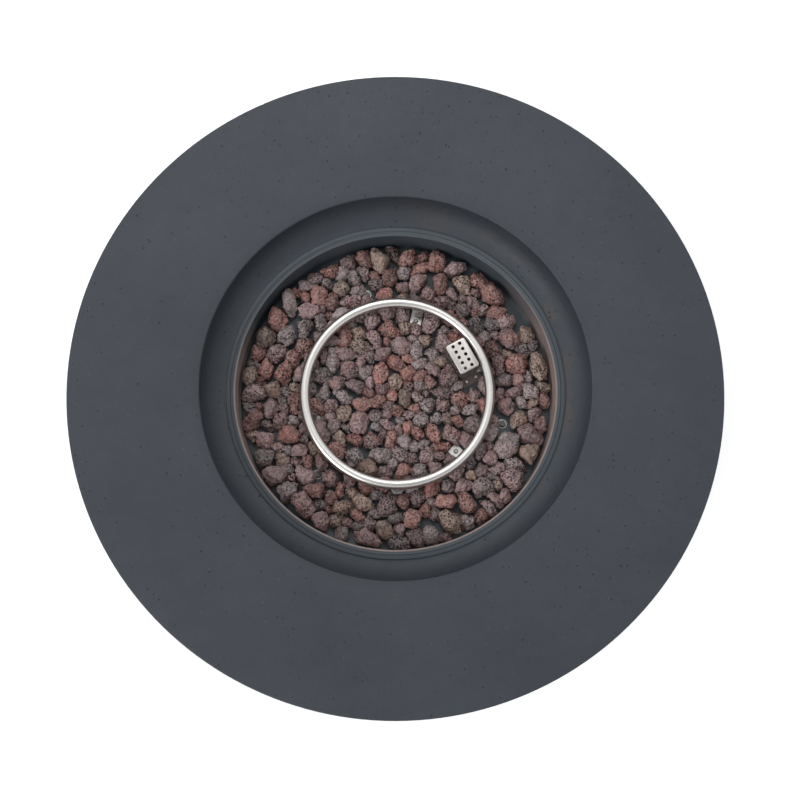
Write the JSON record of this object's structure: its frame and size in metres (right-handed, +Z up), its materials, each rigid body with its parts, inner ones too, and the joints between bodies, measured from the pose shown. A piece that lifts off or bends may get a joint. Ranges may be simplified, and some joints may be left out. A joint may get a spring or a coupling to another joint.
{
  "type": "fire pit table",
  "caption": "Round gas fire pit table: cast concrete bowl with a wide flat rim, a recessed steel pan with a ring burner under lava rock, a pilot hood and a front control niche.",
  "frame": {"origin": "on the ground, under the middle of the round bowl", "axes": "+Z up, control panel towards -Y, gas inlet towards +Y"},
  "size_m": [1, 0.9998, 0.43],
  "materials": {
    "cast_concrete": "matte cast concrete",
    "black_rubber": "matte",
    "pan_paint": "satin high-temperature paint",
    "bright_stainless": "polished stainless steel",
    "satin_stainless": "satin",
    "zinc_steel": "zinc plated",
    "galvanised_sheet": "dull",
    "brass_fittings": "satin",
    "white_ceramic": "gloss",
    "cast_aluminium": "cast",
    "pipe_aluminium": "satin",
    "spring_steel": "satin",
    "black_plastic": "matte",
    "button_plastic": "gloss",
    "bezel_chrome": "polished",
    "battery_can": "gloss",
    "probe_copper": "satin",
    "lead_sleeve": "satin",
    "lava_grey": "porous",
    "lava_purple": "porous",
    "lava_rust": "porous",
    "lava_tan": "porous"
  },
  "bodies": {
    "table": {"concrete_bowl": "cast_concrete", "foot_pads": "black_rubber", "burner_pan": "pan_paint", "ring_burner": "bright_stainless", "feed_locknuts": "zinc_steel", "ring_brackets": "satin_stainless", "ring_bracket_screws": "zinc_steel", "shield_screws": "zinc_steel", "shield_washers": "zinc_steel", "shield_spacers": "zinc_steel", "shield_nuts": "zinc_steel", "heat_shield": "galvanised_sheet", "pilot_plate": "satin_stainless", "pilot_screws": "zinc_steel", "pilot_hood": "satin_stainless", "pilot_jet": "brass_fittings", "flame_probe": "satin_stainless", "spark_electrode": "white_ceramic", "spark_pin": "satin_stainless", "air_mixer": "cast_aluminium", "orifice_fitting": "brass_fittings", "burner_pipe": "pipe_aluminium", "supply_pipe": "pipe_aluminium", "pipe_nuts": "brass_fittings", "gas_inlet": "brass_fittings", "inlet_locknut": "brass_fittings", "valve_body": "cast_aluminium", "valve_gland": "brass_fittings", "magnet_unit": "brass_fittings", "knob_bezel": "bezel_chrome", "control_panel": "satin_stainless", "panel_screws": "zinc_steel", "igniter_body": "black_plastic", "igniter_battery": "battery_can", "igniter_nut": "black_plastic", "button_spring": "spring_steel", "valve_screws": "zinc_steel", "pilot_gas_tube": "pipe_aluminium", "probe_lead": "probe_copper", "spark_lead": "lead_sleeve", "lava_rocks_grey": "lava_grey", "lava_rocks_purple": "lava_purple", "lava_rocks_rust": "lava_rust", "lava_rocks_tan": "lava_tan"},
    "plug": {"valve_plug": "brass_fittings", "stem_spring": "spring_steel"},
    "knob": {"control_knob": "black_plastic", "valve_stem": "zinc_steel"},
    "button": {"igniter_button": "button_plastic"}
  },
  "joints": [
    {"name": "knob_turn", "type": "hinge", "parent": "table", "child": "plug", "pos_m": [-0.038, -0.39968, 0.19], "axis": [0, -1, 0], "range_deg": [0, 180]},
    {"name": "knob_push", "type": "slide", "parent": "plug", "child": "knob", "axis": [0, 1, 0], "range_m": [0, 0.004], "stiffness_N_per_m": 1500, "springref_m": -0.003, "deforming": ["stem_spring"]},
    {"name": "igniter_press", "type": "slide", "parent": "table", "child": "button", "axis": [0, 1, 0], "range_m": [0, 0.0045], "stiffness_N_per_m": 1200, "springref_m": -0.003, "deforming": ["button_spring"]}
  ]
}
